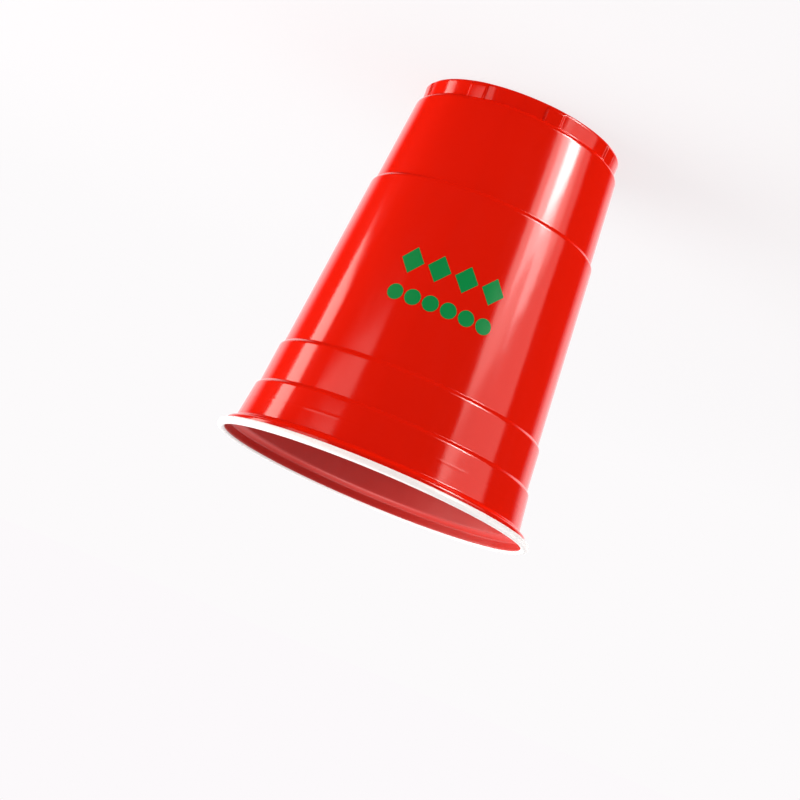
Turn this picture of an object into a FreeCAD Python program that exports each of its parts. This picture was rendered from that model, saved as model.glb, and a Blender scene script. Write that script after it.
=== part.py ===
import FreeCAD, Part
import math
import os

import Sketcher

# A thermoformed party cup, made from one sheet, standing on its foot with its mouth up.
# The origin is the middle of the foot, on the surface that the cup stands on, and +Z is the cup's axis.
# The outer face of the sheet is drawn from the middle of the base to the free edge of the rolled lip.
# The sheet gets its thickness towards the inside, and is turned round the axis.

DRIVING = {
    # whole cup
    "cupHeight": 117.8,
    "rimRadius": 48.5,
    "footRadius": 30.7,
    "wall": 0.4,
    # recessed base panel and the ring that the cup stands on
    "panelHeight": 3.2,
    "panelRound": 0.6,
    "channelSlope": 1.2,
    "landWidth": 2.1,
    "landRound": 0.6,
    "footRound": 0.8,
    # collar above the foot, and the shoulder where the body starts
    "collarHeight": 5.1,
    "collarInset": 0.25,
    "collarRoot": 0.3,
    "shoulderOut": 1.5,
    "shoulderRise": 0.6,
    "shoulderRound": 1.6,
    # three steps of the body: the first is measured up from the foot, the others down from the mouth
    "firstStepHeight": 32.5,
    "secondStepDrop": 29.8,
    "thirdStepDrop": 16.5,
    "stepOut": 0.8,
    "stepRise": 1.0,
    "stepRoot": 0.4,
    "stepRound": 1.2,
    # flared mouth and rolled lip: the band above the last step leans out a little more than the body
    "rimOverhang": 4.7,
    "bandLean": 0.5,
    "flareDrop": 4.6,
    "flareRise": 1.2,
    "flareRoot": 0.6,
    "flareRound": 0.9,
    "lipRadius": 1.15,
    "lipEndAngle": 50.0,
    # lugs pressed out of the collar
    "lugCount": 8,
    "lugTurn": 28.3,
    "lugWidth": 5.4,
    "lugProud": 0.5,
    "lugChamfer": 0.75,
    "lugBottom": 0.3,
}

DERIVED = {
    "panelRadius": "=footRadius - landWidth - channelSlope",
    "landRadius": "=footRadius - landWidth",
    "neckRadius": "=footRadius - collarInset",
    "shoulderRadius": "=neckRadius + shoulderOut",
    "shoulderHeight": "=collarHeight + shoulderRise",
    "flareHeight": "=cupHeight - flareDrop",
    "flareTop": "=flareHeight + flareRise",
    "mouthRadius": "=rimRadius - rimOverhang",
    "bandRadius": "=mouthRadius + bandLean",
    "bodyTaper": "=(mouthRadius - 3 * stepOut - shoulderRadius) / (flareHeight - shoulderHeight)",
    "firstRootHeight": "=firstStepHeight",
    "secondRootHeight": "=cupHeight - secondStepDrop",
    "thirdRootHeight": "=cupHeight - thirdStepDrop",
    "lipCentre": "=rimRadius - lipRadius",
    "lipLevel": "=cupHeight - lipRadius",
    "lipFace": "=lipRadius - wall",
    "lipInside": "=lipCentre - lipFace",
    "lipEnd": "=lipCentre + lipFace * cos(lipEndAngle * 1deg)",
    # section of a lug: its outer face is parallel to the collar, and its top ends inside the shoulder's sheet
    "lugInside": "=footRadius - 3 * wall / 4",
    "lugFoot": "=footRadius + lugProud",
    "lugFootEdge": "=lugFoot - lugChamfer",
    "lugNeck": "=neckRadius + lugProud",
    "lugFaceBottom": "=lugBottom + lugChamfer",
    "lugTopInside": "=collarHeight + wall / 2",
    "lugTopOutside": "=lugTopInside + shoulderRise / shoulderOut * lugProud",
    # section of the hollow behind it, which leaves the lug as thick as the sheet
    "pocketInside": "=neckRadius - 2 * wall",
    "pocketFoot": "=lugFoot - wall",
    "pocketNeck": "=lugNeck - wall",
    "pocketBottom": "=lugFaceBottom + wall / 2",
    "pocketTop": "=shoulderHeight + wall",
    "pocketWidth": "=lugWidth - 2 * wall",
}

STEPS = ["first", "second", "third"]
for number, step in enumerate(STEPS):
    DERIVED[step + "Root"] = (
        "=shoulderRadius + %d * stepOut + bodyTaper * (%sRootHeight - shoulderHeight)" % (number, step)
    )
    DERIVED[step + "Edge"] = "=%sRoot + stepOut + bodyTaper * stepRise" % step
    DERIVED[step + "EdgeHeight"] = "=%sRootHeight + stepRise" % step

doc = FreeCAD.newDocument("PartyCup")
sheet = doc.addObject("Spreadsheet::Sheet", "Sizes")
for row, (name, content) in enumerate({**DRIVING, **DERIVED}.items(), start=1):
    sheet.set("A%d" % row, name)
    sheet.set("B%d" % row, str(content))
    sheet.setAlias("B%d" % row, name)
doc.recompute()


def size(name):
    """A named size of the sheet, or 0 for the axis and the floor, which have no name."""
    return float(sheet.get(name)) if name else 0.0


def place(sketch, geometry, end, radius, height):
    """Ties a point of a sketch to its radius and height: a missing name means the axis or the floor."""
    if radius:
        index = sketch.addConstraint(Sketcher.Constraint("DistanceX", -1, 1, geometry, end, size(radius)))
        sketch.setExpression("Constraints[%d]" % index, "Sizes." + radius)
    else:
        sketch.addConstraint(Sketcher.Constraint("PointOnObject", geometry, end, -2))
    if height:
        index = sketch.addConstraint(Sketcher.Constraint("DistanceY", -1, 1, geometry, end, size(height)))
        sketch.setExpression("Constraints[%d]" % index, "Sizes." + height)
    else:
        sketch.addConstraint(Sketcher.Constraint("PointOnObject", geometry, end, -1))


def section_sketch(name):
    """An empty sketch in the plane of the axis: its x is the radius and its y is the height."""
    sketch = doc.addObject("Sketcher::SketchObject", name)
    upright = FreeCAD.Rotation(FreeCAD.Vector(1, 0, 0), 90)
    sketch.Placement = FreeCAD.Placement(FreeCAD.Vector(0, 0, 0), upright)
    return sketch


def point(radius, height):
    """A point of a section, from the names of its radius and height."""
    return FreeCAD.Vector(size(radius), size(height), 0)


def closed_section(name, corners):
    """A closed outline through named corners."""
    sketch = section_sketch(name)
    for number, corner in enumerate(corners):
        following = corners[(number + 1) % len(corners)]
        sketch.addGeometry(Part.LineSegment(point(*corner), point(*following)))
    for number, corner in enumerate(corners):
        sketch.addConstraint(Sketcher.Constraint("Coincident", (number - 1) % len(corners), 2, number, 1))
        place(sketch, number, 1, *corner)
    return sketch


def rounding_between(before, corner, after, radius):
    """The arc that rounds a corner, and the points where it leaves the two lines."""
    back = (before - corner).normalize()
    ahead = (after - corner).normalize()
    half = back.getAngle(ahead) / 2
    reach = radius / math.tan(half)
    to_middle = (back + ahead).normalize()
    nearest = corner + to_middle * (radius / math.sin(half) - radius)
    start = corner + back * reach
    end = corner + ahead * reach
    return start, end, Part.Arc(start, nearest, end)


def sheet_face():
    """The outer face of the sheet: straight runs with rounded corners, then the arc of the rolled lip."""
    corners = [
        ("", "panelHeight", ""),
        ("panelRadius", "panelHeight", "panelRound"),
        ("landRadius", "", "landRound"),
        ("footRadius", "", "footRound"),
        ("neckRadius", "collarHeight", "collarRoot"),
        ("shoulderRadius", "shoulderHeight", "shoulderRound"),
    ]
    for step in STEPS:
        corners.append((step + "Root", step + "RootHeight", "stepRoot"))
        corners.append((step + "Edge", step + "EdgeHeight", "stepRound"))
    corners.append(("bandRadius", "flareHeight", "flareRoot"))
    corners.append(("lipInside", "flareTop", "flareRound"))
    corners.append(("lipInside", "lipLevel", ""))
    places = [point(radius, height) for radius, height, rounding in corners]
    sketch = section_sketch("SheetFace")

    # guide lines from corner to corner hold the sizes
    guides = []
    for start, end in zip(places, places[1:]):
        guides.append(sketch.addGeometry(Part.LineSegment(start, end), True))
    for before, after in zip(guides, guides[1:]):
        sketch.addConstraint(Sketcher.Constraint("Coincident", before, 2, after, 1))
    for guide, (radius, height, rounding) in zip(guides, corners):
        place(sketch, guide, 1, radius, height)
    place(sketch, guides[-1], 2, "lipInside", "lipLevel")

    # the runs of the sheet lie on the guides, and stop where the roundings start
    roundings = []
    for number in range(1, len(corners) - 1):
        radius = size(corners[number][2])
        roundings.append(rounding_between(*places[number - 1:number + 2], radius))
    starts = [places[0]] + [end for start, end, arc in roundings]
    ends = [start for start, end, arc in roundings] + [places[-1]]
    runs = [sketch.addGeometry(Part.LineSegment(start, end)) for start, end in zip(starts, ends)]
    sketch.addConstraint(Sketcher.Constraint("Coincident", runs[0], 1, guides[0], 1))
    sketch.addConstraint(Sketcher.Constraint("Coincident", runs[-1], 2, guides[-1], 2))
    for run, guide in zip(runs[1:], guides[1:]):
        sketch.addConstraint(Sketcher.Constraint("PointOnObject", run, 1, guide))
    for run, guide in zip(runs[:-1], guides[:-1]):
        sketch.addConstraint(Sketcher.Constraint("PointOnObject", run, 2, guide))
    for number, (start, end, arc) in enumerate(roundings):
        turn = sketch.addGeometry(arc)
        gaps = [sketch.getPoint(turn, end).distanceToPoint(start) for end in (1, 2)]
        near, far = (1, 2) if gaps[0] < gaps[1] else (2, 1)
        sketch.addConstraint(Sketcher.Constraint("Tangent", runs[number], 2, turn, near))
        sketch.addConstraint(Sketcher.Constraint("Tangent", runs[number + 1], 1, turn, far))
        radius = corners[number + 1][2]
        index = sketch.addConstraint(Sketcher.Constraint("Radius", turn, size(radius)))
        sketch.setExpression("Constraints[%d]" % index, "Sizes." + radius)

    # the lip rolls outward over the top, from the last run to its free edge
    circle = Part.Circle(point("lipCentre", "lipLevel"), FreeCAD.Vector(0, 0, 1), size("lipFace"))
    lip = sketch.addGeometry(Part.ArcOfCircle(circle, -math.radians(size("lipEndAngle")), math.pi))
    place(sketch, lip, 3, "lipCentre", "lipLevel")
    sketch.addConstraint(Sketcher.Constraint("Coincident", lip, 2, runs[-1], 2))
    index = sketch.addConstraint(Sketcher.Constraint("DistanceX", -1, 1, lip, 1, size("lipEnd")))
    sketch.setExpression("Constraints[%d]" % index, "Sizes.lipEnd")
    return sketch


def turned(name, section):
    """A section turned once round the axis."""
    ring = doc.addObject("Part::Revolution", name)
    ring.Source = section
    ring.Base = FreeCAD.Vector(0, 0, 0)
    ring.Axis = FreeCAD.Vector(0, 0, 1)
    ring.Angle = 360
    ring.Solid = True
    return ring


def lug_places(name, width):
    """Bars that run out from the axis, one at each lug, as wide as the named size."""
    bars = []
    for number in range(int(size("lugCount"))):
        bar = doc.addObject("Part::Box", "%sBar%d" % (name, number + 1))
        turn = "(Sizes.lugTurn + %d * 360 / Sizes.lugCount) * 1deg" % number
        bar.setExpression("Length", "2 * Sizes.lugFoot")
        bar.setExpression("Width", "Sizes." + width)
        bar.setExpression("Height", "2 * Sizes.shoulderHeight")
        bar.Placement.Rotation = FreeCAD.Rotation(FreeCAD.Vector(0, 0, 1), 0)
        bar.setExpression("Placement.Rotation.Angle", turn)
        bar.setExpression("Placement.Base.x", "sin(%s) * Sizes.%s / 2" % (turn, width))
        bar.setExpression("Placement.Base.y", "-cos(%s) * Sizes.%s / 2" % (turn, width))
        bars.append(bar)
    star = doc.addObject("Part::MultiFuse", name + "Bars")
    star.Shapes = bars
    return star


def ring_pieces(name, section, width):
    """The pieces of a turned section that lie where the lugs are."""
    pieces = doc.addObject("Part::MultiCommon", name)
    pieces.Shapes = [turned(name + "Ring", section), lug_places(name, width)]
    return pieces


def thickened(name, face):
    """The sheet's section: its outer face with the thickness on the inner side."""
    section = doc.addObject("Part::Offset2D", name)
    section.Source = face
    section.Mode = "Skin"
    section.Join = "Intersection"
    section.Fill = True
    section.Value = size("wall")
    section.setExpression("Value", "Sizes.wall")
    return section


shell = turned("Shell", thickened("SheetSection", sheet_face()))

lug_section = closed_section("LugSection", [
    ("lugInside", "lugBottom"),
    ("lugFootEdge", "lugBottom"),
    ("lugFoot", "lugFaceBottom"),
    ("lugNeck", "lugTopOutside"),
    ("lugInside", "lugTopInside"),
])
pocket_section = closed_section("PocketSection", [
    ("pocketInside", "pocketBottom"),
    ("pocketFoot", "pocketBottom"),
    ("pocketNeck", "pocketTop"),
    ("pocketInside", "pocketTop"),
])
lugs = ring_pieces("Lugs", lug_section, "lugWidth")
pockets = ring_pieces("Pockets", pocket_section, "pocketWidth")

with_lugs = doc.addObject("Part::MultiFuse", "ShellWithLugs")
with_lugs.Shapes = [shell, lugs]
cup = doc.addObject("Part::Cut", "Cup")
cup.Base = with_lugs
cup.Tool = pockets
cup.Label = "cup"

doc.recompute()
for item in doc.Objects:
    if "Invalid" in item.State or "Error" in item.State:
        raise RuntimeError("%s failed: %s" % (item.Name, item.State))
if cup.Shape.isNull() or not cup.Shape.isValid():
    raise RuntimeError("the cup has no valid shape")
if len(cup.Shape.Solids) != 1:
    raise RuntimeError("the cup is in %d pieces" % len(cup.Shape.Solids))

os.makedirs("parts", exist_ok=True)
cup.Shape.exportStep("parts/%s.step" % cup.Label)

box = cup.Shape.optimalBoundingBox(True, False)
print("cup: %.2f x %.2f x %.2f mm" % (box.XLength, box.YLength, box.ZLength))
print("volume %.2f cm3" % (cup.Shape.Volume / 1000))
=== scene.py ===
import math

import bmesh
import bpy
from mathutils import Matrix, Vector


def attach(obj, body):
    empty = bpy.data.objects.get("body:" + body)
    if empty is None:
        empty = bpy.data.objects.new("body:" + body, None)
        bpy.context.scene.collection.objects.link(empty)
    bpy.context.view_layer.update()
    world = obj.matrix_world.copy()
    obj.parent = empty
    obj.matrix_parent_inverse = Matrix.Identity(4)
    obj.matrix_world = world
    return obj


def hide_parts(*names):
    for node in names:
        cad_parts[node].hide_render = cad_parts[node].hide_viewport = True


# Dressing of the party cup: one moulded red sheet with a white rolled lip and a green print.
# Lengths in the dictionaries are in millimetres and angles in degrees unless a name says otherwise.

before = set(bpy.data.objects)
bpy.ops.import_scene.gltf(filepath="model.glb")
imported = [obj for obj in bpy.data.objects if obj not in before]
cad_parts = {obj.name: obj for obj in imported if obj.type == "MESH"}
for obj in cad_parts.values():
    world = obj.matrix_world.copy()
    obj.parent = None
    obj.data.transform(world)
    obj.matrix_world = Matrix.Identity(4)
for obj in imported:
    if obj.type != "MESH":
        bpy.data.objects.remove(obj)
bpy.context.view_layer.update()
mm = 0.001
print("frame loaded:", sorted(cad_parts))


# a shader colour from the 0 to 255 values of a colour picker
def linearColour(red, green, blue):
    values = []
    for part in (red, green, blue):
        part = part / 255
        values.append(part / 12.92 if part <= 0.04045 else ((part + 0.055) / 1.055) ** 2.4)
    return (*values, 1.0)


# camera: the cup stands on its foot, and the camera is rolled over so that the picture shows it mouth down
cameraSetup = {
    "place": (-31.9, -576.8, 181.9),
    "heading": -3.4,
    "lookDown": 9.03,
    "roll": 202.76,
    "lens": 90.3,
    "sensor": 36.0,
    "clip": (0.05, 20.0),
}


def makeCamera(setup):
    data = bpy.data.cameras.new("photoCamera")
    data.lens = setup["lens"]
    data.sensor_width = setup["sensor"]
    data.clip_start, data.clip_end = setup["clip"]
    camera = bpy.data.objects.new("photoCamera", data)
    bpy.context.scene.collection.objects.link(camera)
    turn = Matrix.Rotation(math.radians(setup["heading"]), 4, "Z")
    turn = turn @ Matrix.Rotation(math.radians(90 - setup["lookDown"]), 4, "X")
    turn = turn @ Matrix.Rotation(math.radians(setup["roll"]), 4, "Z")
    camera.matrix_world = Matrix.Translation(Vector(setup["place"]) * mm) @ turn
    bpy.context.scene.camera = camera
    return turn.to_3x3()


photoView = makeCamera(cameraSetup)
print("camera placed")

# the cup's section, with the same sizes as the solid
cup = {
    "height": 117.8,
    "rimRadius": 48.5,
    "footRadius": 30.7,
    "wall": 0.4,
    "panelHeight": 3.2,
    "panelRound": 0.6,
    "channelSlope": 1.2,
    "landWidth": 2.1,
    "landRound": 0.6,
    "footRound": 0.8,
    "collarHeight": 5.1,
    "collarInset": 0.25,
    "collarRoot": 0.3,
    "shoulderOut": 1.5,
    "shoulderRise": 0.6,
    "shoulderRound": 1.6,
    "stepHeights": (32.5, 88.0, 101.3),
    "stepOut": 0.8,
    "stepRise": 1.0,
    "stepRoot": 0.4,
    "stepRound": 1.2,
    "rimOverhang": 4.7,
    "bandLean": 0.5,    # how much more the band above the last step leans out
    "flareDrop": 4.6,
    "flareRise": 1.2,
    "flareRoot": 0.6,
    "flareRound": 0.9,
    "lipRadius": 1.15,
    "lipEndAngle": 50.0,
    "whiteUpTo": 150.0,    # angle on the roll where the white of the lip ends inside the mouth
    # a fine ridge on the outside, where the sheet was clamped
    "ridgeHeight": 107.7,
    "ridgeProud": 0.015,
    "ridgeSpread": 0.35,
    "ridgeRows": 15,
    # lugs pressed out of the collar
    "lugCount": 8,
    "lugTurn": 28.3,
    "lugHalfWidth": 2.6,
    "lugSide": 0.5,
    "lugProud": 0.5,
    "lugChamfer": 0.75,
    "lugBottom": 0.3,
    "lugSoft": 0.12,    # rounds the corner between the chamfer and the face
    "lugFrom": 0.05,    # nothing below this height is pressed out
    "pocketBottom": 1.2,
    # how finely the mesh follows the arcs and the runs, in degrees and millimetres
    "arcStep": 11.0,
    "lipStep": 9.0,
    "runStep": 5.0,
    "collarStep": 0.32,
    "edgeLoop": 0.12,
    "edgePieces": 6,
    "mergeWithin": 0.002,
    # columns of a sector: gap, side of the lug, its face, side, gap; the ease crowds a gap's towards the lug
    "columnShares": (8, 6, 5, 6, 8),
    "columnEase": 0.8,
}
cup["neckRadius"] = cup["footRadius"] - cup["collarInset"]
cup["shoulderRadius"] = cup["neckRadius"] + cup["shoulderOut"]
cup["shoulderHeight"] = cup["collarHeight"] + cup["shoulderRise"]
cup["flareHeight"] = cup["height"] - cup["flareDrop"]
cup["mouthRadius"] = cup["rimRadius"] - cup["rimOverhang"]
cup["bandRadius"] = cup["mouthRadius"] + cup["bandLean"]
cup["lipCentre"] = cup["rimRadius"] - cup["lipRadius"]
cup["lipLevel"] = cup["height"] - cup["lipRadius"]
cup["lipInside"] = cup["lipCentre"] - cup["lipRadius"] + cup["wall"]
cup["taper"] = (cup["mouthRadius"] - 3 * cup["stepOut"] - cup["shoulderRadius"]) / (
    cup["flareHeight"] - cup["shoulderHeight"]
)


# radius of the outer face on the body above the given number of steps
def bodyRadius(height, step):
    return cup["shoulderRadius"] + step * cup["stepOut"] + cup["taper"] * (height - cup["shoulderHeight"])


# corners of the outer face from the axis to the start of the lip: radius, height, rounding, row spacing
def outerCorners():
    c = cup
    step = c["runStep"]
    corners = [
        (0.0, c["panelHeight"], 0.0, step),
        (c["footRadius"] - c["landWidth"] - c["channelSlope"], c["panelHeight"], c["panelRound"], 1.0),
        (c["footRadius"] - c["landWidth"], 0.0, c["landRound"], 1.0),
        (c["footRadius"], 0.0, c["footRound"], c["collarStep"]),
        (c["neckRadius"], c["collarHeight"], c["collarRoot"], 0.5),
        (c["shoulderRadius"], c["shoulderHeight"], c["shoulderRound"], step),
    ]
    for number, height in enumerate(c["stepHeights"]):
        top = height + c["stepRise"]
        corners.append((bodyRadius(height, number), height, c["stepRoot"], 0.5))
        corners.append((bodyRadius(top, number + 1), top, c["stepRound"], step))
    corners.append((c["bandRadius"], c["flareHeight"], c["flareRoot"], 0.8))
    corners.append((c["lipInside"], c["flareHeight"] + c["flareRise"], c["flareRound"], 0.5))
    corners.append((c["lipInside"], c["lipLevel"], 0.0, 0.5))
    return corners


# the same corners on the inner face, which lies to the left of the outer one, a sheet's thickness away
def besideCorners(corners, gap):
    places = [Vector(corner[:2]) for corner in corners]
    ways = [(b - a).normalized() for a, b in zip(places, places[1:])]
    lefts = [Vector((-way.y, way.x)) for way in ways]
    beside = []
    for number, corner in enumerate(corners):
        rounding, spacing = corner[2:]
        if number == 0:
            place = places[0] + lefts[0] * gap
        elif number == len(corners) - 1:
            place = places[-1] + lefts[-1] * gap
        else:
            sideways = lefts[number - 1] + lefts[number]
            place = places[number] + sideways * (gap / (1 + lefts[number - 1].dot(lefts[number])))
            turnsLeft = ways[number - 1].cross(ways[number]) > 0
            rounding = rounding - gap if turnsLeft else rounding + gap
        beside.append((place.x, place.y, rounding, spacing))
    return beside


# points strictly between two places, with a close row at each end that keeps the shading of a run flat
def evenly(a, b, spacing, edge):
    length = (b - a).length
    if length < 3 * edge:
        return []
    way = (b - a) / length
    inner = length - 2 * edge
    count = max(1, round(inner / spacing))
    return [a + way * (edge + inner * k / count) for k in range(count + 1)]


# section points along straight runs with rounded corners
def roundedLine(corners):
    places = [Vector(corner[:2]) for corner in corners]
    line = [places[0]]
    for number in range(1, len(corners)):
        here = places[number]
        spacing = corners[number - 1][3]
        if number == len(corners) - 1:
            line += evenly(line[-1], here, spacing, cup["edgeLoop"]) + [here]
            break
        back = (places[number - 1] - here).normalized()
        ahead = (places[number + 1] - here).normalized()
        half = back.angle(ahead) / 2
        radius = corners[number][2]
        start = here + back * (radius / math.tan(half))
        centre = here + (back + ahead).normalized() * (radius / math.sin(half))
        line += evenly(line[-1], start, spacing, cup["edgeLoop"]) + [start]
        swing = math.pi - 2 * half
        pieces = max(2, math.ceil(math.degrees(swing) / cup["arcStep"]))
        sign = 1 if (-back).cross(ahead) > 0 else -1
        for k in range(1, pieces + 1):
            spoke = start - centre
            turn = sign * swing * k / pieces
            spoke = Vector((
                spoke.x * math.cos(turn) - spoke.y * math.sin(turn),
                spoke.x * math.sin(turn) + spoke.y * math.cos(turn),
            ))
            line.append(centre + spoke)
    return line


# points of the rolled lip between two angles, without the first
def lipArc(radius, start, end):
    centre = Vector((cup["lipCentre"], cup["lipLevel"]))
    pieces = max(3, round(abs(end - start) / cup["lipStep"]))
    points = []
    for k in range(1, pieces + 1):
        angle = math.radians(start + (end - start) * k / pieces)
        points.append(centre + Vector((math.cos(angle), math.sin(angle))) * radius)
    return points


# adds the fine ridge of the outer face between the last step and the lip
def withRidge(line):
    spread = cup["ridgeSpread"]
    low, high = cup["ridgeHeight"] - 3 * spread, cup["ridgeHeight"] + 3 * spread
    extra = [low + (high - low) * k / (cup["ridgeRows"] - 1) for k in range(cup["ridgeRows"])]
    found = max(k for k, place in enumerate(line) if place.y < low and place.x < cup["lipInside"])
    after = min(k for k, place in enumerate(line) if place.y > high and k > found)
    a, b = line[found], line[after]
    rows = []
    for height in extra:
        share = (height - a.y) / (b.y - a.y)
        bump = cup["ridgeProud"] * math.exp(-((height - cup["ridgeHeight"]) / spread) ** 2)
        rows.append(Vector((a.x + (b.x - a.x) * share + bump, height)))
    return line[:found + 1] + rows + line[after:]


# radius that a section point has in the middle of a lug
def lugRadius(place, inner):
    c = cup
    radius, height = place
    if height > c["shoulderHeight"] + c["wall"] or height < c["lugFrom"]:
        return radius
    if radius < c["footRadius"] - 2 * c["wall"]:
        return radius
    slope = c["collarInset"] / c["collarHeight"]
    face = c["footRadius"] + c["lugProud"] - slope * (height - c["lugBottom"] - c["lugChamfer"])
    chamfer = c["footRadius"] + c["lugProud"] - c["lugChamfer"] + height - c["lugBottom"]
    if inner:
        face -= c["wall"]
        chamfer = c["footRadius"] - c["wall"] + 2 * (height - c["pocketBottom"])
    rounded = (face + chamfer - math.sqrt((face - chamfer) ** 2 + c["lugSoft"] ** 2)) / 2
    return max(radius, rounded)


# all section points in order: place, radius at a lug, inner face or not, white lip or not
def cupSection():
    c = cup
    outer = outerCorners()
    under = lipArc(c["lipRadius"] - c["wall"], 180, -c["lipEndAngle"])
    over = lipArc(c["lipRadius"], 180, -c["lipEndAngle"])
    face = withRidge(roundedLine(outer)) + under
    inner = roundedLine(besideCorners(outer, c["wall"]))
    swing = 180 + c["lipEndAngle"]
    whiteCount = sum(1 for k in range(len(over)) if 180 - swing * (k + 1) / len(over) < c["whiteUpTo"])
    # the free edge of the lip is rounded over
    a, b = face[-1], over[-1]
    middle, spoke = (a + b) / 2, (a - b) / 2
    ahead = Vector((spoke.y, -spoke.x))
    if ahead.dot(face[-1] - face[-2]) < 0:
        ahead = -ahead
    edge = []
    for k in range(1, c["edgePieces"]):
        turn = math.pi * k / c["edgePieces"]
        edge.append(middle + spoke * math.cos(turn) + ahead * math.sin(turn))
    points = [(place, False, False) for place in face]
    points += [(place, True, True) for place in edge]
    back = over[::-1]
    points += [(place, True, k < whiteCount) for k, place in enumerate(back)]
    points += [(place, True, False) for place in inner[::-1]]
    return [(place, lugRadius(place, isInner), isInner, isWhite) for place, isInner, isWhite in points]


# a mesh line through the section, with its lug radius and its flags as point attributes
def sectionObject(name, section):
    mesh = bpy.data.meshes.new(name)
    count = len(section)
    mesh.from_pydata([(item[0].x * mm, 0, item[0].y * mm) for item in section],
                     [(k, k + 1) for k in range(count - 1)], [])
    values = {
        "lugRadius": [item[1] * mm for item in section],
        "innerFace": [float(item[2]) for item in section],
        "whiteLip": [float(item[3]) for item in section],
    }
    for label, column in values.items():
        mesh.attributes.new(label, "FLOAT", "POINT").data.foreach_set("value", column)
    thing = bpy.data.objects.new(name, mesh)
    bpy.context.scene.collection.objects.link(thing)
    return thing


# short ways to add and link nodes while a node tree is built
class Tree:
    def __init__(self, tree):
        self.tree = tree

    def add(self, kind, inputs=None, **settings):
        node = self.tree.nodes.new(kind)
        for key, value in settings.items():
            setattr(node, key, value)
        for key, value in (inputs or {}).items():
            if isinstance(value, bpy.types.NodeSocket):
                self.tree.links.new(value, node.inputs[key])
            else:
                node.inputs[key].default_value = value
        return node

    def maths(self, operation, *values):
        node = self.tree.nodes.new("ShaderNodeMath")
        node.operation = operation
        for slot, value in zip(node.inputs, values):
            if isinstance(value, bpy.types.NodeSocket):
                self.tree.links.new(value, slot)
            else:
                slot.default_value = value
        return node.outputs[0]

    def ramp(self, value, low, high, start, end, smooth=False):
        node = self.add("ShaderNodeMapRange", {
            "Value": value, "From Min": low, "From Max": high, "To Min": start, "To Max": end,
        })
        node.clamp = True
        node.interpolation_type = "SMOOTHSTEP" if smooth else "LINEAR"
        return node.outputs[0]


# a geometry node tree with a geometry input, the named inputs, and a geometry output
def newTree(name, sockets):
    group = bpy.data.node_groups.new(name, "GeometryNodeTree")
    group.interface.new_socket("Geometry", in_out="INPUT", socket_type="NodeSocketGeometry")
    for label, kind, value in sockets:
        socket = group.interface.new_socket(label, in_out="INPUT", socket_type=kind)
        if value is not None:
            socket.default_value = value
    group.interface.new_socket("Geometry", in_out="OUTPUT", socket_type="NodeSocketGeometry")
    return group


# sets a modifier's named inputs by their socket identifiers
def setInputs(modifier, values):
    for item in modifier.node_group.interface.items_tree:
        if item.item_type == "SOCKET" and item.in_out == "INPUT" and item.name in values:
            modifier[item.identifier] = values[item.name]


# turns the evaluated object into a plain mesh object and removes its maker
def applied(thing, name):
    bpy.context.view_layer.update()
    evaluated = thing.evaluated_get(bpy.context.evaluated_depsgraph_get())
    mesh = bpy.data.meshes.new_from_object(evaluated)
    mesh.name = name
    result = bpy.data.objects.new(name, mesh)
    bpy.context.scene.collection.objects.link(result)
    group = thing.modifiers[0].node_group
    old = thing.data
    bpy.data.objects.remove(thing)
    bpy.data.meshes.remove(old)
    bpy.data.node_groups.remove(group)
    return result


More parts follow.
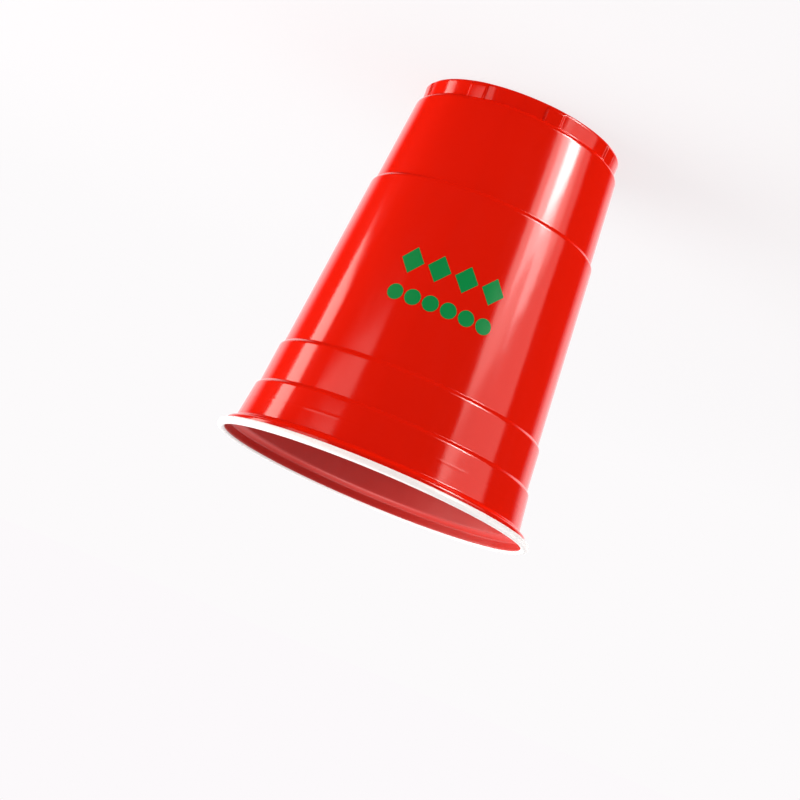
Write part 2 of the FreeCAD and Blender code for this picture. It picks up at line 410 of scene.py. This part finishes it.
# turns a section line round the axis and presses the lugs out of it
def shellTree(sheetFinish, insideFinish, lipFinish):
    group = newTree("turnedCup", [
        ("Section Points", "NodeSocketInt", 10),
        ("Columns", "NodeSocketInt", 64),
        ("Lugs", "NodeSocketInt", 8),
        ("Lug Turn", "NodeSocketFloat", 0.0),
        ("Lug Half Angle", "NodeSocketFloat", 0.08),
        ("Lug Side Angle", "NodeSocketFloat", 0.02),
        ("Wall Angle", "NodeSocketFloat", 0.01),
    ])
    t = Tree(group)
    given = t.add("NodeGroupInput").outputs
    columns = t.maths("ADD", given["Columns"], 1.0)
    grid = t.add("GeometryNodeMeshGrid", {
        "Size X": 1.0, "Size Y": 1.0, "Vertices X": columns, "Vertices Y": given["Section Points"],
    })
    place = t.add("GeometryNodeInputPosition").outputs[0]
    where = t.add("ShaderNodeSeparateXYZ", {"Vector": place}).outputs
    across = t.maths("ADD", where["X"], 0.5)
    along = t.maths("ADD", where["Y"], 0.5)

    # which section point this row is, and its radius, height, lug radius and face
    last = t.maths("SUBTRACT", given["Section Points"], 1.0)
    row = t.maths("ROUND", t.maths("MULTIPLY", along, last))
    line = given["Geometry"]
    place = t.add("GeometryNodeSampleIndex", {"Geometry": line, "Index": row}, data_type="FLOAT_VECTOR")
    t.tree.links.new(t.add("GeometryNodeInputPosition").outputs[0], place.inputs["Value"])
    spot = t.add("ShaderNodeSeparateXYZ", {"Vector": place.outputs[0]}).outputs
    sampled = {}
    for label in ("lugRadius", "innerFace", "whiteLip"):
        named = t.add("GeometryNodeInputNamedAttribute", {"Name": label}, data_type="FLOAT")
        sample = t.add("GeometryNodeSampleIndex", {"Geometry": line, "Index": row}, data_type="FLOAT")
        t.tree.links.new(named.outputs["Attribute"], sample.inputs["Value"])
        sampled[label] = sample.outputs[0]

    # the columns crowd together at the sides of each lug
    sectors = t.maths("MULTIPLY", across, given["Lugs"])
    part = t.maths("FRACT", sectors)
    sector = t.maths("FLOOR", sectors)
    span = t.maths("DIVIDE", 2 * math.pi, given["Lugs"])
    half = t.maths("DIVIDE", span, 2.0)
    clear = t.maths("ADD", given["Lug Half Angle"], given["Lug Side Angle"])
    inner = t.maths("SUBTRACT", given["Lug Half Angle"], t.maths("MULTIPLY", given["Wall Angle"], 2.0))
    gap = t.maths("SUBTRACT", half, clear)
    side = t.maths("SUBTRACT", clear, inner)
    face = t.maths("MULTIPLY", inner, 2.0)
    shares = cup["columnShares"]
    edges = [sum(shares[:k]) / sum(shares) for k in range(len(shares) + 1)]
    angle = t.maths("MULTIPLY", half, -1.0)
    widths = (gap, side, face, side, gap)
    for number, (low, high, width) in enumerate(zip(edges, edges[1:], widths)):
        done = t.ramp(part, low, high, 0.0, 1.0)
        if number in (0, 4):
            # wide columns in the middle of a gap, close ones beside the lug
            left = t.maths("SUBTRACT", 1.0, done) if number == 0 else done
            square = t.maths("MULTIPLY", left, left)
            eased = t.maths("SUBTRACT", 1.0, square) if number == 0 else square
            even = t.maths("MULTIPLY", done, 1 - cup["columnEase"])
            done = t.maths("ADD", even, t.maths("MULTIPLY", eased, cup["columnEase"]))
        angle = t.maths("MULTIPLY_ADD", done, width, angle)
    away = t.maths("ABSOLUTE", angle)
    outerWeight = t.ramp(away, given["Lug Half Angle"], clear, 1.0, 0.0, smooth=True)
    pocketStart = t.maths("SUBTRACT", given["Lug Half Angle"], given["Wall Angle"])
    pocketEnd = t.maths("SUBTRACT", clear, given["Wall Angle"])
    innerWeight = t.ramp(away, pocketStart, pocketEnd, 1.0, 0.0, smooth=True)
    weight = t.add("ShaderNodeMix", {"Factor": sampled["innerFace"]}, data_type="FLOAT")
    t.tree.links.new(outerWeight, weight.inputs["A"])
    t.tree.links.new(innerWeight, weight.inputs["B"])
    pressed = t.maths("MULTIPLY", weight.outputs[0], t.maths("SUBTRACT", sampled["lugRadius"], spot["X"]))
    radius = t.maths("ADD", spot["X"], pressed)

    around = t.maths("ADD", t.maths("MULTIPLY", t.maths("ADD", sector, 0.5), span), angle)
    around = t.maths("ADD", around, t.maths("SUBTRACT", given["Lug Turn"], half))
    position = t.add("ShaderNodeCombineXYZ", {
        "X": t.maths("MULTIPLY", radius, t.maths("COSINE", around)),
        "Y": t.maths("MULTIPLY", radius, t.maths("SINE", around)),
        "Z": spot["Z"],
    })
    flagged = grid.outputs["Mesh"]
    for label in ("innerFace", "whiteLip"):
        flagged = t.add("GeometryNodeStoreNamedAttribute", {
            "Geometry": flagged, "Name": label, "Value": sampled[label],
        }, data_type="FLOAT", domain="POINT").outputs[0]
    turned = t.add("GeometryNodeSetPosition", {"Geometry": flagged, "Position": position.outputs[0]})
    merged = t.add("GeometryNodeMergeByDistance", {
        "Geometry": turned.outputs[0], "Distance": cup["mergeWithin"] * mm,
    })
    smooth = t.add("GeometryNodeSetShadeSmooth", {"Geometry": merged.outputs[0], "Shade Smooth": True})
    real = t.add("GeometryNodeRealizeInstances", {"Geometry": smooth.outputs[0]})
    dressed = t.add("GeometryNodeSetMaterial", {"Geometry": real.outputs[0], "Material": sheetFinish})
    dressed = dressed.outputs[0]
    for label, material in (("innerFace", insideFinish), ("whiteLip", lipFinish)):
        flag = t.add("GeometryNodeInputNamedAttribute", {"Name": label}, data_type="FLOAT")
        isThere = t.add("FunctionNodeCompare", {"A": flag.outputs["Attribute"], "B": 0.01},
                        data_type="FLOAT", operation="GREATER_THAN")
        dressed = t.add("GeometryNodeSetMaterial", {
            "Geometry": dressed, "Selection": isThere.outputs[0], "Material": material,
        }).outputs[0]
    out = t.add("NodeGroupOutput")
    t.tree.links.new(dressed, out.inputs["Geometry"])
    return group


# finishes
finish = {
    "red": (214, 23, 3),
    "redDeep": (209, 20, 2),
    # the inside: the red a little dimmer with a pale haze added, which is painted shade and a painted
    # reflection of the white surroundings
    "inner": (206, 47, 37),
    "innerHazedDeep": (200, 43, 34),
    "white": (247, 244, 242),
    "whiteShade": (244, 240, 238),
    "green": (0, 133, 65),
    "greenDeep": (0, 127, 61),
    "floor": (252, 250, 251),
    "floorLit": (226, 224, 225),
    "floorAway": (140, 138, 137),
    # the surface of the plastic: a noise drawn out along the axis, and a wider ripple
    "drawnScale": 260.0,
    "drawnStretch": 0.18,
    "rippleScale": 95.0,
    # heights of the ripple and the grain are in millimetres
    "outerLook": {"roughness": (0.1, 0.14), "ior": 1.5, "ripple": 0.04, "grain": 0.006, "cloudScale": 28.0},
    "innerLook": {"roughness": (0.3, 0.42), "ior": 1.5, "ripple": 0.05, "grain": 0.01, "cloudScale": 28.0},
    "lipLook": {"roughness": (0.22, 0.32), "ior": 1.5, "ripple": 0.012, "grain": 0.004, "cloudScale": 28.0},
    "inkLook": {"roughness": (0.35, 0.45), "ior": 1.28, "ripple": 0.04, "grain": 0.008, "cloudScale": 90.0},
}


def newMaterial(name):
    material = bpy.data.materials.new(name)
    material.use_nodes = True
    material.node_tree.nodes.clear()
    return material, Tree(material.node_tree)


# moulded plastic: a slightly cloudy colour, gloss that varies a little, and a drawn, rippled surface
def moulded(name, colour, deep, look):
    material, t = newMaterial(name)
    coords = t.add("ShaderNodeTexCoord").outputs["Object"]
    cloud = t.add("ShaderNodeTexNoise", {"Vector": coords, "Scale": look["cloudScale"], "Detail": 3.0})
    mix = t.add("ShaderNodeMix", {"Factor": cloud.outputs[0]}, data_type="RGBA")
    mix.inputs["A"].default_value = linearColour(*colour)
    mix.inputs["B"].default_value = linearColour(*deep)
    stretch = t.add("ShaderNodeMapping", {"Vector": coords, "Scale": (1.0, 1.0, finish["drawnStretch"])})
    drawn = t.add("ShaderNodeTexNoise", {
        "Vector": stretch.outputs[0], "Scale": finish["drawnScale"], "Detail": 2.0,
    })
    gloss = t.add("ShaderNodeMapRange", {
        "Value": drawn.outputs[0], "From Min": 0.3, "From Max": 0.7,
        "To Min": look["roughness"][0], "To Max": look["roughness"][1],
    })
    ripple = t.add("ShaderNodeTexNoise", {"Vector": coords, "Scale": finish["rippleScale"], "Detail": 1.0})
    wave = t.add("ShaderNodeBump", {
        "Height": ripple.outputs[0], "Distance": look["ripple"] * mm, "Strength": 1.0,
    })
    grain = t.add("ShaderNodeBump", {
        "Height": drawn.outputs[0], "Distance": look["grain"] * mm,
        "Strength": 1.0, "Normal": wave.outputs[0],
    })
    surface = t.add("ShaderNodeBsdfPrincipled", {
        "Base Color": mix.outputs["Result"], "Roughness": gloss.outputs[0],
        "IOR": look["ior"], "Normal": grain.outputs[0],
    })
    out = t.add("ShaderNodeOutputMaterial")
    t.tree.links.new(surface.outputs[0], out.inputs["Surface"])
    return material


redPlastic = moulded("redPlastic", finish["red"], finish["redDeep"], finish["outerLook"])
# the inside's material carries painted shade and a painted reflection in its colour
innerHazedPlastic = moulded("innerHazedPlastic", finish["inner"], finish["innerHazedDeep"], finish["innerLook"])
whitePlastic = moulded("whitePlastic", finish["white"], finish["whiteShade"], finish["lipLook"])
greenInk = moulded("greenInk", finish["green"], finish["greenDeep"], finish["inkLook"])
print("finishes made")


def makeCup():
    section = cupSection()
    line = sectionObject("cupSection", section)
    modifier = line.modifiers.new("turn", "NODES")
    modifier.node_group = shellTree(redPlastic, innerHazedPlastic, whitePlastic)
    around = cup["footRadius"] + cup["lugProud"] / 2
    setInputs(modifier, {
        "Section Points": len(section),
        "Columns": cup["lugCount"] * sum(cup["columnShares"]),
        "Lugs": cup["lugCount"],
        "Lug Turn": math.radians(cup["lugTurn"]),
        "Lug Half Angle": (cup["lugHalfWidth"] - cup["lugSide"] / 2) / around,
        "Lug Side Angle": cup["lugSide"] / around,
        "Wall Angle": cup["wall"] / around,
    })
    shell = applied(line, "cupShell")
    for polygon in shell.data.polygons:
        polygon.use_smooth = True
    # faces must point out of the sheet
    work = bmesh.new()
    work.from_mesh(shell.data)
    bmesh.ops.recalc_face_normals(work, faces=work.faces)
    work.to_mesh(shell.data)
    openEdges = sum(1 for edge in work.edges if len(edge.link_faces) != 2)
    volume = work.calc_volume()
    print("cup:", len(section), "section points,", len(work.faces), "faces, open edges", openEdges,
          "volume %.2f cm3" % (volume * 1e6))
    work.free()
    return shell


cupShell = makeCup()
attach(cupShell, "root")
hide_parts("cup")

# the print: a row of diamonds and a row of dots where a buyer's own design would be
ink = {
    "proud": 0.03,
    "sunk": 0.05,
    "side": -90.0,
    "rows": (
        {"name": "diamondRow", "count": 4, "level": 57.95, "pitch": 8.1, "size": (7.0, 8.2), "round": False},
        {"name": "dotRow", "count": 6, "level": 68.15, "pitch": 5.35, "size": (4.7, 4.7), "round": True},
    ),
    "parts": 10,
}


# a thin closed tablet, flat in x and z, finely divided so that it can bend: a diamond or a dot
def motifMesh(name, width, tall, isRound):
    parts = ink["parts"]
    work = bmesh.new()
    layers = []
    for depth in (-ink["proud"], ink["sunk"]):
        rows = []
        for i in range(parts + 1):
            row = []
            for j in range(parts + 1):
                u, v = 2 * i / parts - 1, 2 * j / parts - 1
                if isRound:
                    x = u * math.sqrt(1 - v * v / 2)
                    z = v * math.sqrt(1 - u * u / 2)
                else:
                    x, z = (u - v) / 2, (u + v) / 2
                row.append(work.verts.new((x * width / 2 * mm, depth * mm, z * tall / 2 * mm)))
            rows.append(row)
        layers.append(rows)
    for rows in layers:
        for i in range(parts):
            for j in range(parts):
                work.faces.new((rows[i][j], rows[i + 1][j], rows[i + 1][j + 1], rows[i][j + 1]))
    ends = [(i, 0) for i in range(parts)] + [(parts, j) for j in range(parts)]
    ends += [(i, parts) for i in range(parts, 0, -1)] + [(0, j) for j in range(parts, 0, -1)]
    for a, b in zip(ends, ends[1:] + ends[:1]):
        near, far = ((layer[a[0]][a[1]], layer[b[0]][b[1]]) for layer in layers)
        work.faces.new((near[0], near[1], far[1], far[0]))
    bmesh.ops.recalc_face_normals(work, faces=work.faces)
    mesh = bpy.data.meshes.new(name)
    work.to_mesh(mesh)
    work.free()
    return mesh


# wraps a motif onto the cone of the body and sets copies of it in a row round the axis
def rowTree(material):
    group = newTree("printRow", [
        ("Motif", "NodeSocketObject", None),
        ("Count", "NodeSocketInt", 4),
        ("Pitch", "NodeSocketFloat", 0.008),
        ("Level", "NodeSocketFloat", 0.06),
        ("Radius", "NodeSocketFloat", 0.037),
        ("Taper", "NodeSocketFloat", 0.088),
        ("Side", "NodeSocketFloat", -1.57),
    ])
    t = Tree(group)
    given = t.add("NodeGroupInput").outputs
    motif = t.add("GeometryNodeObjectInfo", {"Object": given["Motif"]}, transform_space="ORIGINAL")
    place = t.add("GeometryNodeInputPosition").outputs[0]
    where = t.add("ShaderNodeSeparateXYZ", {"Vector": place}).outputs
    angle = t.maths("DIVIDE", where["X"], given["Radius"])
    radius = t.maths("ADD", given["Radius"], t.maths("MULTIPLY", where["Z"], given["Taper"]))
    radius = t.maths("SUBTRACT", radius, where["Y"])
    wrapped = t.add("ShaderNodeCombineXYZ", {
        "X": t.maths("MULTIPLY", radius, t.maths("COSINE", angle)),
        "Y": t.maths("MULTIPLY", radius, t.maths("SINE", angle)),
        "Z": t.maths("ADD", where["Z"], given["Level"]),
    })
    placed = t.add("GeometryNodeSetPosition", {
        "Geometry": motif.outputs["Geometry"], "Position": wrapped.outputs[0],
    })
    # one point on the axis for each copy, which only turns
    line = t.add("GeometryNodeMeshLine", {"Count": given["Count"], "Offset": (0, 0, 0)}, mode="OFFSET")
    centred = t.maths("SUBTRACT", given["Count"], 1.0)
    index = t.add("GeometryNodeInputIndex").outputs[0]
    number = t.maths("SUBTRACT", index, t.maths("MULTIPLY", centred, 0.5))
    swing = t.maths("MULTIPLY", number, t.maths("DIVIDE", given["Pitch"], given["Radius"]))
    spin = t.add("ShaderNodeCombineXYZ", {"Z": t.maths("ADD", given["Side"], swing)})
    turn = t.add("FunctionNodeEulerToRotation", {"Euler": spin.outputs[0]})
    copies = t.add("GeometryNodeInstanceOnPoints", {
        "Points": line.outputs[0], "Instance": placed.outputs[0], "Rotation": turn.outputs[0],
    })
    real = t.add("GeometryNodeRealizeInstances", {"Geometry": copies.outputs[0]})
    inked = t.add("GeometryNodeSetMaterial", {"Geometry": real.outputs[0], "Material": material})
    out = t.add("NodeGroupOutput")
    t.tree.links.new(inked.outputs[0], out.inputs["Geometry"])
    return group


def makePrintRow(row):
    mesh = motifMesh(row["name"] + "Motif", *row["size"], row["round"])
    motif = bpy.data.objects.new(row["name"] + "Motif", mesh)
    bpy.context.scene.collection.objects.link(motif)
    host = bpy.data.objects.new(row["name"] + "Host", bpy.data.meshes.new(row["name"] + "Host"))
    bpy.context.scene.collection.objects.link(host)
    modifier = host.modifiers.new("row", "NODES")
    modifier.node_group = rowTree(greenInk)
    setInputs(modifier, {
        "Motif": motif,
        "Count": row["count"],
        "Pitch": row["pitch"] * mm,
        "Level": row["level"] * mm,
        "Radius": bodyRadius(row["level"], 1) * mm,
        "Taper": cup["taper"],
        "Side": math.radians(ink["side"]),
    })
    piece = applied(host, row["name"])
    bpy.data.objects.remove(motif)
    bpy.data.meshes.remove(mesh)
    work = bmesh.new()
    work.from_mesh(piece.data)
    bmesh.ops.recalc_face_normals(work, faces=work.faces)
    openEdges = sum(1 for edge in work.edges if len(edge.link_faces) != 2)
    work.to_mesh(piece.data)
    print(row["name"], len(work.faces), "faces, open edges", openEdges)
    work.free()
    return piece


for row in ink["rows"]:
    piece = makePrintRow(row)
    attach(piece, "root")
print("print wrapped round the body")

# the floor under the foot looks white to the camera, and less so near the cup, where its shadow lies
stageSizes = {
    "floorReach": 6000.0,
    "glowNear": 0.8,
    "glowRamp": (0.05, 0.5),    # distances from the axis in metres
}


def makeFloor():
    reach = stageSizes["floorReach"] * mm
    mesh = bpy.data.meshes.new("paleFloor")
    mesh.from_pydata([(-reach, -reach, 0), (reach, -reach, 0), (reach, reach, 0), (-reach, reach, 0)],
                     [], [(0, 1, 2, 3)])
    floor = bpy.data.objects.new("paleFloor", mesh)
    bpy.context.scene.collection.objects.link(floor)
    material, t = newMaterial("paleFloor")
    coords = t.add("ShaderNodeTexCoord").outputs["Object"]
    away = t.add("ShaderNodeVectorMath", {0: coords}, operation="LENGTH").outputs["Value"]
    path = t.add("ShaderNodeLightPath").outputs
    seen = t.maths("MAXIMUM", path["Is Camera Ray"], path["Is Transmission Ray"])
    glowShare = t.ramp(away, *stageSizes["glowRamp"], stageSizes["glowNear"], 1.0, smooth=True)
    share = t.maths("MULTIPLY", seen, glowShare)
    shade = t.add("ShaderNodeMix", {"Factor": seen}, data_type="RGBA")
    shade.inputs["A"].default_value = linearColour(*finish["floorAway"])
    shade.inputs["B"].default_value = linearColour(*finish["floorLit"])
    matt = t.add("ShaderNodeBsdfDiffuse", {"Color": shade.outputs["Result"]})
    glow = t.add("ShaderNodeEmission", {"Color": linearColour(*finish["floor"]), "Strength": 1.0})
    mix = t.add("ShaderNodeMixShader", {"Fac": share, 1: matt.outputs[0], 2: glow.outputs[0]})
    out = t.add("ShaderNodeOutputMaterial")
    t.tree.links.new(mix.outputs[0], out.inputs["Surface"])
    material.cycles.emission_sampling = "NONE"    # the glow is for the camera and lights nothing
    mesh.materials.append(material)
    floor.visible_glossy = False
    floor.visible_shadow = False


makeFloor()


# the lamps stand upright round the picture: across is to the right of the camera, rise is above its level
studio = {
    "lean": 4.6,    # the camera looks down on the picture's level by this angle
    "target": (0, 0, 60),
    "distance": 800.0,
    "background": (252, 249, 251),
    "below": 0.015,    # strength of the world under the horizon, save behind the picture
    "surround": 0.41,    # strength of the light from all sides
    "horizon": (-0.07, -0.04),    # heights between which the world turns pale
    "behindCup": (-0.68, -0.82),    # the same for what lies behind the picture
    "lamps": (
        {"name": "rightBox", "across": (48, 88.5), "rise": (-14, 30), "radiance": 2.6,
         "colour": (255, 192, 182)},
        {"name": "rightUpper", "across": (49, 80), "rise": (1.5, 30), "radiance": 3.0,
         "colour": (255, 225, 218)},
        {"name": "rightBright", "across": (55, 74.5), "rise": (6.5, 30), "radiance": 6.0},
        {"name": "rightStripe", "across": (64.5, 73.5), "rise": (1, 30), "radiance": 4.0},
        {"name": "rightHot", "across": (62, 74), "rise": (7, 30), "radiance": 15.0},
        {"name": "leftStrip", "across": (-112, -95), "rise": (5, 39), "radiance": 5.2,
         "colour": (255, 240, 230)},
        {"name": "leftBox", "across": (-71, -34), "rise": (5, 38), "radiance": 2.5,
         "colour": (255, 205, 195)},
        {"name": "leftFill", "across": (-130, -60), "rise": (-25, 40), "radiance": 3.8, "gloss": False},
        {"name": "rightFill", "across": (60, 130), "rise": (-25, 40), "radiance": 3.1, "gloss": False},
    ),
    "overhead": {"height": 1300.0, "size": 900.0, "radiance": 2.8},
}


# right, near and up of the upright frame of the picture
def pictureUpright():
    lean = math.radians(studio["lean"])
    right, up, near = (photoView.col[k].copy() for k in range(3))
    upright = up * math.cos(lean) - near * math.sin(lean)
    return right, right.cross(upright), upright


# a rectangular lamp with the axes of its width and height; its power follows from its radiance
def addLamp(name, place, axes, size, radiance):
    data = bpy.data.lights.new(name, "AREA")
    data.shape = "RECTANGLE"
    data.size, data.size_y = size
    data.energy = radiance * math.pi * size[0] * size[1]
    thing = bpy.data.objects.new(name, data)
    bpy.context.scene.collection.objects.link(thing)
    wide, tall = axes
    turn = Matrix((wide, tall, wide.cross(tall))).transposed().to_4x4()
    thing.matrix_world = Matrix.Translation(place) @ turn
    return thing


def makeLamps():
    right, near, upright = pictureUpright()
    target = Vector(studio["target"]) * mm
    distance = studio["distance"] * mm
    for lamp in studio["lamps"]:
        low, high = (math.radians(value) for value in lamp["across"])
        bottom, top = (math.tan(math.radians(value)) for value in lamp["rise"])
        middle = (low + high) / 2
        way = right * math.sin(middle) + near * math.cos(middle)
        size = (2 * distance * math.tan((high - low) / 2), distance * (top - bottom))
        place = target + way * distance + upright * (distance * (top + bottom) / 2)
        made = addLamp(lamp["name"], place, (upright.cross(way), upright), size, lamp["radiance"])
        made.visible_glossy = lamp.get("gloss", True)
        made.data.color = linearColour(*lamp.get("colour", (255, 255, 255)))[:3]
    over = studio["overhead"]
    place = Vector((0, 0, over["height"])) * mm
    size = over["size"] * mm
    addLamp("overhead", place, (Vector((1, 0, 0)), Vector((0, 1, 0))), (size, size), over["radiance"])


def makeWorld():
    world = bpy.data.worlds.new("studio")
    bpy.context.scene.world = world
    world.use_nodes = True
    world.node_tree.nodes.clear()
    t = Tree(world.node_tree)
    way = t.add("ShaderNodeTexCoord").outputs["Generated"]
    height = t.add("ShaderNodeSeparateXYZ", {"Vector": way}).outputs["Z"]
    near = pictureUpright()[1]
    facing = t.add("ShaderNodeVectorMath", {0: way, 1: tuple(near)}, operation="DOT_PRODUCT")
    facing = facing.outputs["Value"]
    above = t.ramp(height, *studio["horizon"], 0.0, 1.0)
    behind = t.ramp(facing, *studio["behindCup"], 0.0, 1.0)
    lit = t.maths("MAXIMUM", above, behind)
    shade = t.ramp(lit, 0.0, 1.0, studio["below"], 1.0)
    back = t.add("ShaderNodeBackground", {"Color": linearColour(*studio["background"]), "Strength": shade})
    light = t.add("ShaderNodeBackground", {"Color": (1.0, 1.0, 1.0, 1.0), "Strength": studio["surround"]})
    path = t.add("ShaderNodeLightPath").outputs
    seen = t.maths("MAXIMUM", path["Is Camera Ray"], path["Is Glossy Ray"])
    seen = t.maths("MAXIMUM", seen, path["Is Transmission Ray"])
    mix = t.add("ShaderNodeMixShader", {"Fac": seen, 1: light.outputs[0], 2: back.outputs[0]})
    out = t.add("ShaderNodeOutputWorld")
    t.tree.links.new(mix.outputs[0], out.inputs["Surface"])


makeLamps()
makeWorld()
bpy.context.scene.view_settings.view_transform = "Standard"
print("floor, world and lamps set")
